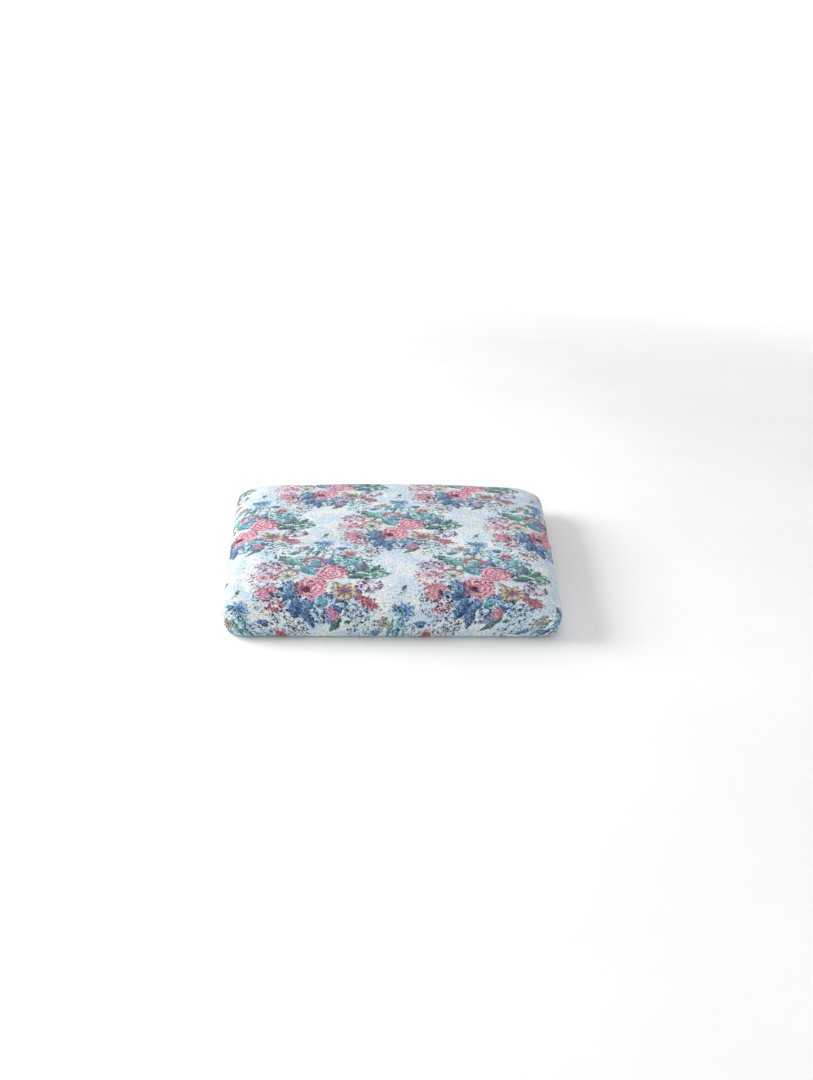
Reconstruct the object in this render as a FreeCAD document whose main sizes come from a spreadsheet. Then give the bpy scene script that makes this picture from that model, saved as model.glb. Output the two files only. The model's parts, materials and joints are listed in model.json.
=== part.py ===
import FreeCAD, Part
import math
import os
import Sketcher

# Upholstered slip seat of a dining chair: a glued hardwood frame, jute webbing, hessian, hair,
# felt, a calico undercover, wadding and a woven tapestry cover, closed below by a dust cover.
# Millimetres.  The origin is at the middle of the underside, +Z up, and the front edge faces -Y.

DIMENSIONS = {
    # the finished pad
    "pad_front_width": 452,
    "pad_rear_width": 381,
    "pad_depth": 382,
    "pad_height": 55,
    "front_corner_radius": 38,
    "rear_corner_radius": 24,
    "least_corner_radius": 3,
    "crown_radius": 2200,
    "edge_round": 18,
    "groove_reach": 330,
    "groove_lid": 20,
    # cloth and stuffing, from the outside in
    "layer_gap": 0.15,
    "sheet_gap": 0.1,
    "cover_thickness": 1.2,
    "cover_hem": 26,
    "wadding_side": 2,
    "wadding_top": 6,
    "wadding_drop": 10,
    "calico_thickness": 0.5,
    "calico_hem": 16,
    "felt_thickness": 7,
    "hair_inset": 12,
    # hessian platform
    "hessian_thickness": 0.8,
    "hessian_inset": 8,
    "hessian_fold": 16,
    "hessian_height": 4.2,
    "stuffing_height": 6.6,
    # hardwood frame
    "rail_width": 48,
    "rail_thickness": 19,
    "rail_chamfer": 5,
    "glue_line": 0.1,
    "dowel_radius": 4,
    "dowel_length": 50,
    "dowel_pitch": 22,
    "dowel_clearance": 0.1,
    "dowel_end_space": 1,
    # how far a shape that cuts another reaches past it
    "cut_margin": 1,
    # pilot holes for the screws that come up through the chair's corner blocks
    "pilot_radius": 1.6,
    "pilot_depth": 12,
    "pilot_inset": 33,
    "pilot_spacing_front": 300,
    "pilot_spacing_rear": 240,
    # jute webbing
    "webbing_width": 50,
    "webbing_thickness": 1.6,
    "webbing_fold": 24,
    "webbing_end_inset": 20,
    "webbing_ramp": 22,
    "webbing_pitch_across": 105,
    "webbing_pitch_along": 81,
    # dust cover
    "dust_thickness": 0.5,
    "dust_inset": 12,
    "dust_fold": 12,
    # tacks and staples
    "tack_head_radius": 2.8,
    "tack_head_height": 0.7,
    "tack_shank_radius": 0.9,
    "tack_length": 10,
    "webbing_tack_row": 7,
    "webbing_tack_row_gap": 10,
    "webbing_tack_pitch": 18,
    "hessian_tack_inset": 14,
    "hessian_tack_pitch": 42,
    "staple_width": 10,
    "staple_leg": 8,
    "staple_wire": 0.8,
    "staple_crown": 0.4,
    "calico_staple_inset": 10,
    "calico_staple_pitch": 38,
    "cover_staple_inset": 22,
    "cover_staple_pitch": 17,
    "dust_staple_inset": 17,
    "dust_staple_pitch": 30,
}

doc = FreeCAD.newDocument("slip_seat")
sheet = doc.addObject("Spreadsheet::Sheet", "Dims")
for row, (alias, value) in enumerate(DIMENSIONS.items(), start=1):
    sheet.set(f"A{row}", alias.replace("_", " "))
    sheet.set(f"B{row}", str(value))
    sheet.setAlias(f"B{row}", alias)
doc.recompute()

# ---- heights and insets that follow from the driving dimensions, as expressions on the sheet ----

HEM_BOTTOM = "(2 * Dims.dust_thickness + Dims.sheet_gap)"
HEM_TOP = f"({HEM_BOTTOM} + Dims.cover_thickness)"
CALICO_BOTTOM = f"({HEM_TOP} + Dims.sheet_gap)"
CALICO_HEM_TOP = f"({CALICO_BOTTOM} + Dims.calico_thickness)"
FRAME_BOTTOM = f"({CALICO_HEM_TOP} + Dims.sheet_gap)"
FRAME_TOP = f"({FRAME_BOTTOM} + Dims.rail_thickness)"
WADDING_BOTTOM = "Dims.wadding_drop"

COVER_INSIDE = "Dims.cover_thickness"
WADDING_SIDE = f"({COVER_INSIDE} + Dims.layer_gap)"
WADDING_INSIDE = f"({WADDING_SIDE} + Dims.wadding_side)"
CALICO_SIDE = f"({WADDING_INSIDE} + Dims.layer_gap)"
CALICO_INSIDE = f"({CALICO_SIDE} + Dims.calico_thickness)"
FRAME_SIDE = f"({CALICO_INSIDE} + Dims.layer_gap)"
FRAME_OPENING = f"({FRAME_SIDE} + Dims.rail_width)"
HESSIAN_SIDE = f"({FRAME_SIDE} + Dims.hessian_inset)"
HAIR_SIDE = f"({FRAME_SIDE} + Dims.hair_inset)"

WADDING_DOWN = WADDING_SIDE
WADDING_UNDER = f"({WADDING_DOWN} + Dims.wadding_top)"
CALICO_DOWN = f"({WADDING_UNDER} + Dims.layer_gap)"
CALICO_UNDER = f"({CALICO_DOWN} + Dims.calico_thickness)"
FELT_DOWN = f"({CALICO_UNDER} + Dims.layer_gap)"
FELT_UNDER = f"({FELT_DOWN} + Dims.felt_thickness)"
HAIR_DOWN = f"({FELT_UNDER} + Dims.layer_gap)"

SIDE_SLOPE = "((Dims.pad_front_width - Dims.pad_rear_width) / 2 / Dims.pad_depth)"


def size(expression):
    """The number that an expression on the sheet comes to."""
    return float(sheet.evalExpression(expression))


def origin_plane(body, role):
    """One of a body's own origin planes, by its role."""
    return next(feature for feature in body.Origin.OriginFeatures if feature.Role == role)


def place_on(sketch, body, role, offset="0"):
    """Attach a sketch flat to an origin plane of its body, moved along the plane's normal."""
    sketch.AttachmentSupport = (origin_plane(body, role), "")
    sketch.MapMode = "FlatFace"
    sketch.setExpression(".AttachmentOffset.Base.z", offset)


def named(sketch, constraint, name, expression):
    """Add a dimension to a sketch and bind it to the sheet."""
    index = sketch.addConstraint(constraint)
    sketch.renameConstraint(index, name)
    sketch.setExpression(f"Constraints.{name}", expression)


def front_width(inset):
    return f"Dims.pad_front_width - 2 * {inset} * (1 + {SIDE_SLOPE})"


def rear_width(inset):
    return f"Dims.pad_rear_width - 2 * {inset} * (1 - {SIDE_SLOPE})"


def half_depth(inset):
    return f"Dims.pad_depth / 2 - {inset}"


def outline_sketch(body, name, inset, height):
    """The pad's tapered plan, moved in by inset all round and laid at a height."""
    sketch = body.newObject("Sketcher::SketchObject", name)
    place_on(sketch, body, "XY_Plane", height)
    front = size(front_width(inset)) / 2
    rear = size(rear_width(inset)) / 2
    depth = size(half_depth(inset))
    corners = [(-front, -depth), (front, -depth), (rear, depth), (-rear, depth)]
    points = [FreeCAD.Vector(x, y, 0) for x, y in corners]
    for i in range(4):
        sketch.addGeometry(Part.LineSegment(points[i], points[(i + 1) % 4]))
    for i in range(4):
        sketch.addConstraint(Sketcher.Constraint("Coincident", i, 2, (i + 1) % 4, 1))
    sketch.addConstraint(Sketcher.Constraint("Symmetric", 0, 1, 0, 2, -2))
    sketch.addConstraint(Sketcher.Constraint("Symmetric", 2, 1, 2, 2, -2))
    named(sketch, Sketcher.Constraint("Distance", 0, 2 * front), "front", front_width(inset))
    named(sketch, Sketcher.Constraint("Distance", 2, 2 * rear), "rear", rear_width(inset))
    named(sketch, Sketcher.Constraint("DistanceY", 0, 1, -1, 1, depth), "ahead", half_depth(inset))
    named(sketch, Sketcher.Constraint("DistanceY", -1, 1, 2, 1, depth), "behind", half_depth(inset))
    return sketch


def upright_edges(shape, front):
    """Names of the upright edges at the front, or at the back."""
    names = []
    for number, edge in enumerate(shape.Edges, start=1):
        box = edge.BoundBox
        upright = box.XLength < 0.01 and box.YLength < 0.01
        if upright and (box.YMin < 0) == front:
            names.append(f"Edge{number}")
    return names


def face_edges(shape, wanted):
    """Names of the edges round the faces for which wanted is true."""
    names = []
    for number, edge in enumerate(shape.Edges, start=1):
        for face in shape.Faces:
            if wanted(face) and any(edge.isSame(other) for other in face.Edges):
                names.append(f"Edge{number}")
                break
    return names


def dress(body, kind, name, edges, dimension, expression):
    """A fillet or chamfer on named edges of a body's tip."""
    base = body.Tip
    feature = body.newObject(f"PartDesign::{kind}", name)
    feature.Base = (base, edges)
    feature.setExpression(dimension, expression)
    body.Tip = feature
    doc.recompute()


def round_corners(body, inset):
    """Round the four upright corners, so that nested layers stay parallel."""
    for front, corner in ((True, "front"), (False, "rear")):
        edges = upright_edges(body.Tip.Shape, front)
        radius = f"max(Dims.{corner}_corner_radius - {inset}; Dims.least_corner_radius)"
        dress(body, "Fillet", f"{body.Name}_{corner}_corners", edges, "Radius", radius)


def slab(name, inset, bottom, thickness):
    """A body of even thickness with the pad's tapered plan and rounded corners."""
    body = doc.addObject("PartDesign::Body", name)
    sketch = outline_sketch(body, name + "_outline", inset, bottom)
    pad = body.newObject("PartDesign::Pad", name + "_pad")
    pad.Profile = sketch
    pad.setExpression("Length", thickness)
    doc.recompute()
    round_corners(body, inset)
    return body


def dome_groove(body, top, down):
    """Turn away everything above the crown, which is part of a large sphere."""
    sketch = body.newObject("Sketcher::SketchObject", body.Name + "_crown")
    place_on(sketch, body, "XZ_Plane")
    crown = size(f"Dims.crown_radius - {down}")
    apex = size(top)
    reach = size("Dims.groove_reach")
    lid = apex + size("Dims.groove_lid")
    centre = FreeCAD.Vector(0, apex - crown, 0)
    circle = Part.Circle(centre, FreeCAD.Vector(0, 0, 1), crown)
    sketch.addGeometry(Part.ArcOfCircle(circle, math.acos(reach / crown), math.pi / 2))
    start = FreeCAD.Vector(reach, apex - crown + math.sqrt(crown**2 - reach**2), 0)
    path = [(0, apex), (0, lid), (reach, lid), (start.x, start.y)]
    for (x, y), (next_x, next_y) in zip(path, path[1:]):
        ends = FreeCAD.Vector(x, y, 0), FreeCAD.Vector(next_x, next_y, 0)
        sketch.addGeometry(Part.LineSegment(*ends))
    for first, first_end, second, second_end in ((0, 2, 1, 1), (1, 2, 2, 1), (2, 2, 3, 1), (3, 2, 0, 1)):
        joined = Sketcher.Constraint("Coincident", first, first_end, second, second_end)
        sketch.addConstraint(joined)
    for geometry, end in ((0, 3), (1, 1), (1, 2)):
        sketch.addConstraint(Sketcher.Constraint("PointOnObject", geometry, end, -2))
    sketch.addConstraint(Sketcher.Constraint("Horizontal", 2))
    sketch.addConstraint(Sketcher.Constraint("Vertical", 3))
    named(sketch, Sketcher.Constraint("Radius", 0, crown), "crown", f"Dims.crown_radius - {down}")
    named(sketch, Sketcher.Constraint("DistanceY", -1, 1, 1, 1, apex), "apex", top)
    named(sketch, Sketcher.Constraint("DistanceX", -1, 1, 2, 2, reach), "reach", "Dims.groove_reach")
    named(sketch, Sketcher.Constraint("DistanceY", 1, 1, 1, 2, lid - apex), "lid", "Dims.groove_lid")
    before = body.Tip.Shape.Volume
    groove = body.newObject("PartDesign::Groove", body.Name + "_groove")
    groove.Profile = sketch
    groove.ReferenceAxis = (sketch, ["V_Axis"])
    groove.Angle = 360
    body.Tip = groove
    doc.recompute()
    if groove.Shape.Volume >= before:
        raise RuntimeError(f"{body.Name}: the crown groove removed nothing")


def envelope(name, side, bottom, down, rounded=True):
    """A crowned block: the pad's plan moved in by side, from bottom up to down below the top."""
    top = f"Dims.pad_height - {down}"
    body = slab(name, side, bottom, f"{top} - {bottom}")
    dome_groove(body, top, down)
    if rounded:
        crown_edges = face_edges(body.Tip.Shape, lambda face: isinstance(face.Surface, Part.Sphere))
        dress(body, "Fillet", name + "_edge", crown_edges, "Radius", f"Dims.edge_round - {side}")
    return body


def fused(name, pieces):
    """One tool made of several shapes."""
    tool = doc.addObject("Part::MultiFuse", name)
    tool.Shapes = pieces
    return tool


def cut(name, base, *tools):
    """A base shape with one or more tools cut away."""
    feature = doc.addObject("Part::Cut", name)
    feature.Base = base
    feature.Tool = tools[0] if len(tools) == 1 else fused(name + "_tools", list(tools))
    doc.recompute()
    return feature


def common(name, base, tool):
    feature = doc.addObject("Part::Common", name)
    feature.Base = base
    feature.Tool = tool
    doc.recompute()
    return feature


def block(name, low, high):
    """A box between two corners, each a triple of expressions."""
    box = doc.addObject("Part::Box", name)
    for side, axis, start, end in zip(("Length", "Width", "Height"), "xyz", low, high):
        box.setExpression(side, f"({end}) - ({start})")
        box.setExpression(f".Placement.Base.{axis}", start)
    doc.recompute()
    return box


def cylinder(name, radius, length, centre, direction="+Z"):
    """A cylinder that starts at centre and runs along +Z or +Y."""
    rod = doc.addObject("Part::Cylinder", name)
    rod.setExpression("Radius", radius)
    rod.setExpression("Height", length)
    if direction == "+Y":
        rod.Placement = FreeCAD.Placement(FreeCAD.Vector(), FreeCAD.Rotation(FreeCAD.Vector(1, 0, 0), -90))
    for axis, position in zip("xyz", centre):
        rod.setExpression(f".Placement.Base.{axis}", position)
    doc.recompute()
    return rod


# ---- hardwood frame: four rails cut from one tapered ring, doweled at the corners ----


def frame_ring():
    body = slab("frame_ring", FRAME_SIDE, FRAME_BOTTOM, "Dims.rail_thickness")
    top = size(FRAME_TOP)
    top_edges = face_edges(body.Tip.Shape, lambda face: face.BoundBox.ZMin > top - 0.01)
    dress(body, "Chamfer", "frame_ring_bevel", top_edges, "Size", "Dims.rail_chamfer")
    sketch = outline_sketch(body, "frame_ring_opening", FRAME_OPENING, FRAME_TOP)
    before = body.Tip.Shape.Volume
    pocket = body.newObject("PartDesign::Pocket", "frame_ring_pocket")
    pocket.Profile = sketch
    pocket.setExpression("Length", "Dims.rail_thickness")
    body.Tip = pocket
    doc.recompute()
    if pocket.Shape.Volume >= before:
        raise RuntimeError("the frame's opening was not cut")
    return body


JOINT_Y = half_depth(FRAME_OPENING)
FAR = "Dims.pad_front_width"


def dowel_places():
    """Where each dowel starts: name, x, y.  Two dowels cross each of the four corner joints."""
    places = []
    front = ("front", -1, front_width(FRAME_SIDE), f"-({JOINT_Y})")
    rear = ("rear", 1, rear_width(FRAME_SIDE), JOINT_Y)
    for end, sign, width, y in (front, rear):
        rail_middle = f"(({width}) / 2 + {sign} * Dims.rail_width * {SIDE_SLOPE} - Dims.rail_width / 2)"
        for side, side_sign in (("left", 1), ("right", -1)):
            for pair, offset in (("outer", 1), ("inner", -1)):
                x = f"{side_sign} * ({rail_middle} + {offset} * Dims.dowel_pitch / 2)"
                places.append((f"{end}_{side}_{pair}", x, y))
    return places


def dowels(kind, radius, length):
    """Rods along Y centred on the corner joints: the dowels themselves or their holes."""
    rods = []
    for name, x, y in dowel_places():
        start = f"{y} - ({length}) / 2"
        middle = f"{FRAME_BOTTOM} + Dims.rail_thickness / 2"
        rods.append(cylinder(f"{kind}_{name}", radius, length, (x, start, middle), "+Y"))
    return rods


def pilot_holes():
    """Blind holes up into the front and rear rails, open through the dust cover."""
    holes = {}
    for end, sign in (("front", -1), ("rear", 1)):
        y = f"{sign} * (Dims.pad_depth / 2 - Dims.pilot_inset)"
        holes[end] = []
        for side, side_sign in (("left", 1), ("right", -1)):
            x = f"{side_sign} * Dims.pilot_spacing_{end} / 2"
            depth = f"{FRAME_BOTTOM} + Dims.pilot_depth + Dims.cut_margin"
            start = (x, y, "-Dims.cut_margin")
            holes[end].append(cylinder(f"pilot_{end}_{side}", "Dims.pilot_radius", depth, start))
    return holes


def rails(ring, dowel_holes, pilots):
    """Front and rear rails run the full width, and the side rails sit between them."""
    outside = "Dims.pad_depth / 2"
    inner = f"({JOINT_Y} - Dims.glue_line)"
    low, high = FRAME_BOTTOM, FRAME_TOP
    spaces = {
        "front_rail": ((f"-{FAR}", f"-{outside}", low), (FAR, f"-({JOINT_Y})", high)),
        "rear_rail": ((f"-{FAR}", JOINT_Y, low), (FAR, outside, high)),
        "left_rail": (("0", f"-{inner}", low), (FAR, inner, high)),
        "right_rail": ((f"-{FAR}", f"-{inner}", low), ("0", inner, high)),
    }
    made = []
    for name, (start, end) in spaces.items():
        blank = common(name + "_blank", ring, block(name + "_space", start, end))
        where = name.split("_")[0]
        holes = dowel_holes + pilots.get(where, [])
        made.append(cut(name, blank, *holes))
    return made


# ---- jute webbing: three strips each way, woven over and under, ends folded back ----

OVER_RISE = "(Dims.webbing_thickness + 2 * Dims.sheet_gap)"


def webbing_strip(name, length, crossings, offset, lengthwise):
    """One strip along its sketch's X: it rises over the crossings in the list, and lies flat elsewhere."""
    thickness = size("Dims.webbing_thickness")
    gap = size("Dims.sheet_gap")
    fold = size("Dims.webbing_fold")
    rise = size(OVER_RISE)
    half_flat = size("Dims.webbing_width") / 2 + thickness
    ramp = size("Dims.webbing_ramp")
    half = size(length) / 2
    under = []
    for crossing in sorted(crossings):
        under += [(crossing - half_flat - ramp, 0), (crossing - half_flat, rise)]
        under += [(crossing + half_flat, rise), (crossing + half_flat + ramp, 0)]
    folded = 2 * thickness + gap
    slot = thickness + gap
    over = [(x, z + thickness) for x, z in reversed(under)]
    right_end = [(half, 0), (half, folded), (half - fold, folded), (half - fold, slot)]
    right_end += [(half - thickness, slot), (half - thickness, thickness)]
    left_end = [(-x, z) for x, z in reversed(right_end)]
    outline = under + right_end + over + left_end
    body = doc.addObject("PartDesign::Body", name)
    sketch = body.newObject("Sketcher::SketchObject", name + "_profile")
    place_on(sketch, body, "XZ_Plane")
    points = [FreeCAD.Vector(x, z, 0) for x, z in outline]
    for i, point in enumerate(points):
        sketch.addGeometry(Part.LineSegment(point, points[(i + 1) % len(points)]))
    pad = body.newObject("PartDesign::Pad", name + "_pad")
    pad.Profile = sketch
    pad.SideType = "Symmetric"
    pad.setExpression("Length", "Dims.webbing_width")
    turn = FreeCAD.Rotation(FreeCAD.Vector(0, 0, 1), 90 if lengthwise else 0)
    body.Placement = FreeCAD.Placement(FreeCAD.Vector(), turn)
    body.setExpression(f".Placement.Base.{'x' if lengthwise else 'y'}", offset)
    body.setExpression(".Placement.Base.z", f"{FRAME_TOP} + Dims.sheet_gap")
    doc.recompute()
    return body


def half_width_at(y_expression):
    """Half the frame's outer width at a distance in front of or behind the middle."""
    middle = f"({front_width(FRAME_SIDE)} + {rear_width(FRAME_SIDE)}) / 4"
    return f"({middle} - ({y_expression}) * {SIDE_SLOPE})"


def webbing():
    """Six strips; the sum of a strip's and its neighbour's place decides which one lies on top."""
    strips = []
    lengthwise_length = f"2 * ({half_depth(FRAME_SIDE)} - Dims.webbing_end_inset)"
    for place, name in ((1, "left"), (0, "middle"), (-1, "right")):
        over = [row * size("Dims.webbing_pitch_along") for row in (-1, 0, 1) if (place + row) % 2 == 0]
        offset = f"{place} * Dims.webbing_pitch_across"
        label = f"webbing_lengthwise_{name}"
        strips.append((label, lengthwise_length, over, offset, True))
    for row, name in ((-1, "front"), (0, "middle"), (1, "rear")):
        over = [place * size("Dims.webbing_pitch_across") for place in (-1, 0, 1) if (place + row) % 2 == 1]
        offset = f"{row} * Dims.webbing_pitch_along"
        length = f"2 * ({half_width_at(offset)} - Dims.webbing_end_inset)"
        strips.append((f"webbing_crosswise_{name}", length, over, offset, False))
    return strips


# ---- fasteners: each group is one node of identical separate solids ----


def tack():
    """A cut tack, head up, with the underside of its head at the origin."""
    head = Part.makeCylinder(size("Dims.tack_head_radius"), size("Dims.tack_head_height"))
    shank_length = size("Dims.tack_length")
    down = FreeCAD.Vector(0, 0, -1)
    blunt = size("Dims.tack_shank_radius")
    overlap = size("Dims.tack_head_height") / 2
    start = FreeCAD.Vector(0, 0, overlap)
    shank = Part.makeCone(blunt, blunt / 5, shank_length + overlap, start, down)
    return head.fuse(shank)


def staple():
    """A staple driven upwards: the crown's outer face is at z = 0 and the legs point up."""
    width = size("Dims.staple_width")
    wire = size("Dims.staple_wire")
    crown = Part.makeBox(width, wire, size("Dims.staple_crown"), FreeCAD.Vector(-width / 2, -wire / 2, 0))
    shape = crown
    for x in (-width / 2, width / 2 - wire):
        leg = Part.makeBox(wire, wire, size("Dims.staple_leg"), FreeCAD.Vector(x, -wire / 2, 0))
        shape = shape.fuse(leg)
    return shape.removeSplitter()


def edge_places(inset, pitch, corner_margin):
    """Evenly spaced points along the four straight sides, with each side's direction in degrees."""
    front = size(front_width(inset)) / 2
    rear = size(rear_width(inset)) / 2
    depth = size(half_depth(inset))
    corners = [(-front, -depth), (front, -depth), (rear, depth), (-rear, depth)]
    places = []
    for i in range(4):
        start = FreeCAD.Vector(*corners[i], 0)
        run = FreeCAD.Vector(*corners[(i + 1) % 4], 0) - start
        usable = run.Length - 2 * corner_margin
        count = max(2, round(usable / pitch) + 1)
        angle = math.degrees(math.atan2(run.y, run.x))
        for step in range(count):
            along = corner_margin + usable * step / (count - 1)
            places.append((start + run * (along / run.Length), angle))
    return places


def group(name, master, places, height):
    """Copies of one fastener at a list of points, kept apart in one compound."""
    copies = []
    for point, angle in places:
        copy = master.copy()
        spin = FreeCAD.Rotation(FreeCAD.Vector(0, 0, 1), angle)
        copy.Placement = FreeCAD.Placement(FreeCAD.Vector(point.x, point.y, height), spin)
        copies.append(copy)
    feature = doc.addObject("Part::Feature", name)
    feature.Shape = Part.makeCompound(copies)
    feature.Placement = FreeCAD.Placement()
    return feature


def webbing_tack_places(strips):
    """Five tacks in each folded end: three in the inner row and two in the outer row."""
    places = []
    pitch = size("Dims.webbing_tack_pitch")
    outer_row = size("Dims.webbing_tack_row")
    inner_row = outer_row + size("Dims.webbing_tack_row_gap")
    pattern = [(inner_row, -pitch), (inner_row, 0), (inner_row, pitch)]
    pattern += [(outer_row, -pitch / 2), (outer_row, pitch / 2)]
    for _, length, _, offset, lengthwise in strips:
        half = size(length) / 2
        beside = size(offset)
        for end in (-1, 1):
            for inward, across in pattern:
                along = end * (half - inward)
                sideways = beside + across
                point = (sideways, along) if lengthwise else (along, sideways)
                places.append((FreeCAD.Vector(*point, 0), 0))
    return places


# ---- cloth and stuffing ----


def folded_sheet(name, inset, bottom, thickness, fold, holes=()):
    """A flat cloth whose edge is turned up and back on itself all round."""
    sheet_body = slab(name + "_flat", inset, bottom, thickness)
    rim_bottom = f"{bottom} + {thickness} - Dims.sheet_gap"
    rim = slab(name + "_rim", inset, rim_bottom, f"{thickness} + Dims.sheet_gap")
    inner = slab(name + "_inner", f"({inset} + {fold})", f"{bottom} + {thickness}", f"2 * {thickness}")
    turned = fused(name + "_turned", [sheet_body, rim])
    doc.recompute()
    return cut(name, turned, inner, *holes)


def build():
    """Every node of the seat, in order from the frame outwards."""
    nodes = []
    ring = frame_ring()
    dowel_length = "Dims.dowel_length"
    hole_length = "(Dims.dowel_length + 2 * Dims.dowel_end_space)"
    hole_radius = "Dims.dowel_radius + Dims.dowel_clearance"
    dowel_holes = dowels("dowel_hole", hole_radius, hole_length)
    pilots = pilot_holes()
    nodes += rails(ring, dowel_holes, pilots)

    corner_dowels = doc.addObject("Part::Compound", "corner_dowels")
    corner_dowels.Links = dowels("dowel", "Dims.dowel_radius", dowel_length)
    nodes.append(corner_dowels)

    strips = webbing()
    nodes += [webbing_strip(*strip) for strip in strips]
    fold_top = f"{FRAME_TOP} + 2 * Dims.sheet_gap + 2 * Dims.webbing_thickness"
    nodes.append(group("webbing_tacks", tack(), webbing_tack_places(strips), size(fold_top)))

    hessian_bottom = f"({FRAME_TOP} + Dims.hessian_height)"
    hessian_top = f"{hessian_bottom} + 2 * Dims.hessian_thickness"
    hessian = folded_sheet(
        "hessian_sheet", HESSIAN_SIDE, hessian_bottom, "Dims.hessian_thickness", "Dims.hessian_fold"
    )
    nodes.append(hessian)
    tack_line = f"({FRAME_SIDE} + Dims.hessian_tack_inset)"
    staple_margin = size("Dims.front_corner_radius")
    hessian_places = edge_places(tack_line, size("Dims.hessian_tack_pitch"), staple_margin / 2)
    nodes.append(group("hessian_tacks", tack(), hessian_places, size(hessian_top)))

    stuffing_bottom = f"({FRAME_TOP} + Dims.stuffing_height)"
    hair = envelope("hair_stuffing", HAIR_SIDE, stuffing_bottom, HAIR_DOWN, rounded=False)
    nodes.append(hair)

    hair_room_side = f"({HAIR_SIDE} - Dims.layer_gap)"
    hair_room_bottom = f"({stuffing_bottom} - Dims.cut_margin)"
    hair_room = envelope("hair_room", hair_room_side, hair_room_bottom, FELT_UNDER, rounded=False)
    platform_side = f"({HESSIAN_SIDE} - Dims.layer_gap)"
    platform_height = "Dims.stuffing_height - Dims.layer_gap"
    platform = slab("platform_room", platform_side, FRAME_TOP, platform_height)
    felt_bottom = f"({FRAME_TOP} + Dims.sheet_gap)"
    felt_block = envelope("felt_block", FRAME_SIDE, felt_bottom, FELT_DOWN)
    nodes.append(cut("cotton_felt", felt_block, hair_room, platform))

    calico_outer = envelope("calico_outer", CALICO_SIDE, CALICO_BOTTOM, CALICO_DOWN)
    calico_inner = envelope("calico_inner", CALICO_INSIDE, CALICO_HEM_TOP, CALICO_UNDER)
    calico_opening_inset = f"({CALICO_SIDE} + Dims.calico_hem)"
    calico_cut_bottom = f"({CALICO_BOTTOM} - Dims.cut_margin)"
    calico_cut_height = "(Dims.calico_thickness + 2 * Dims.cut_margin)"
    calico_opening = slab("calico_opening", calico_opening_inset, calico_cut_bottom, calico_cut_height)
    nodes.append(cut("calico_undercover", calico_outer, calico_inner, calico_opening))
    calico_line = edge_places("Dims.calico_staple_inset", size("Dims.calico_staple_pitch"), staple_margin)
    nodes.append(group("calico_staples", staple(), calico_line, size(CALICO_BOTTOM)))

    wadding_outer = envelope("wadding_outer", WADDING_SIDE, WADDING_BOTTOM, WADDING_DOWN)
    wadding_cut_bottom = f"({WADDING_BOTTOM} - Dims.cut_margin)"
    wadding_inner = envelope("wadding_inner", WADDING_INSIDE, wadding_cut_bottom, WADDING_UNDER)
    nodes.append(cut("cotton_wadding", wadding_outer, wadding_inner))

    cover_outer = envelope("cover_outer", "0", HEM_BOTTOM, "0")
    cover_inner = envelope("cover_inner", COVER_INSIDE, HEM_TOP, COVER_INSIDE)
    cover_cut_bottom = f"({HEM_BOTTOM} - Dims.cut_margin)"
    cover_cut_height = "(Dims.cover_thickness + 2 * Dims.cut_margin)"
    cover_opening = slab("cover_opening", "Dims.cover_hem", cover_cut_bottom, cover_cut_height)
    nodes.append(cut("tapestry_cover", cover_outer, cover_inner, cover_opening))
    cover_line = edge_places("Dims.cover_staple_inset", size("Dims.cover_staple_pitch"), staple_margin / 2)
    nodes.append(group("cover_staples", staple(), cover_line, size(HEM_BOTTOM)))

    all_pilots = pilots["front"] + pilots["rear"]
    dust_cover = folded_sheet(
        "dust_cover", "Dims.dust_inset", "0", "Dims.dust_thickness", "Dims.dust_fold", all_pilots
    )
    nodes.append(dust_cover)
    dust_line = edge_places("Dims.dust_staple_inset", size("Dims.dust_staple_pitch"), staple_margin / 2)
    nodes.append(group("dust_cover_staples", staple(), dust_line, 0))
    return nodes


def check(nodes):
    """Stop if any object failed, or if a node's shape is empty or broken."""
    for item in doc.Objects:
        if "Invalid" in item.State or "Error" in item.State:
            raise RuntimeError(f"{item.Label} failed: {item.State}")
    for node in nodes:
        if node.Shape.isNull() or not node.Shape.isValid() or not node.Shape.Solids:
            raise RuntimeError(f"{node.Label} has no valid solid")


def write(nodes):
    os.makedirs("parts", exist_ok=True)
    for node in nodes:
        box = node.Shape.BoundBox
        print(f"{node.Label:28s} {len(node.Shape.Solids):3d} solids {node.Shape.Volume / 1000:9.2f} cm3 "
              f"z {box.ZMin:6.2f}..{box.ZMax:6.2f}")
        node.Shape.exportStep(f"parts/{node.Label}.step")


all_nodes = build()
doc.recompute()
check(all_nodes)
write(all_nodes)
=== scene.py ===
import json
import math

import bpy
import numpy as np
from mathutils import Matrix, Vector, noise


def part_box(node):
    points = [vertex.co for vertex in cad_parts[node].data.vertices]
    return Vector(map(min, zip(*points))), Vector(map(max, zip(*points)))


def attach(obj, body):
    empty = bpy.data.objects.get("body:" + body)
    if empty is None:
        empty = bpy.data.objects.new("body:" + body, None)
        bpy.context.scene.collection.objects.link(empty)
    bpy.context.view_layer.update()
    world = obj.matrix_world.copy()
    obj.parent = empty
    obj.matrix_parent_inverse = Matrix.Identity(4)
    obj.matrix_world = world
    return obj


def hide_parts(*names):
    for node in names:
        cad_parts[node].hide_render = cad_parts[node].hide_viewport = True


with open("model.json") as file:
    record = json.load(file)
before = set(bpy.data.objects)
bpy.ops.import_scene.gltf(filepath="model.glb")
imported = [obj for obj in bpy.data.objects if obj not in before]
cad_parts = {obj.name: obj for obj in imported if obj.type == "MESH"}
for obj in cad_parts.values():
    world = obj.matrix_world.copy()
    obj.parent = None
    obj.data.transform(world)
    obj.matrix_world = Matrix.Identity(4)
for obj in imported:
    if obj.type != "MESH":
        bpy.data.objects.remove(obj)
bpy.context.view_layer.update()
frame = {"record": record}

# ---- sizes, in metres ----

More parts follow.
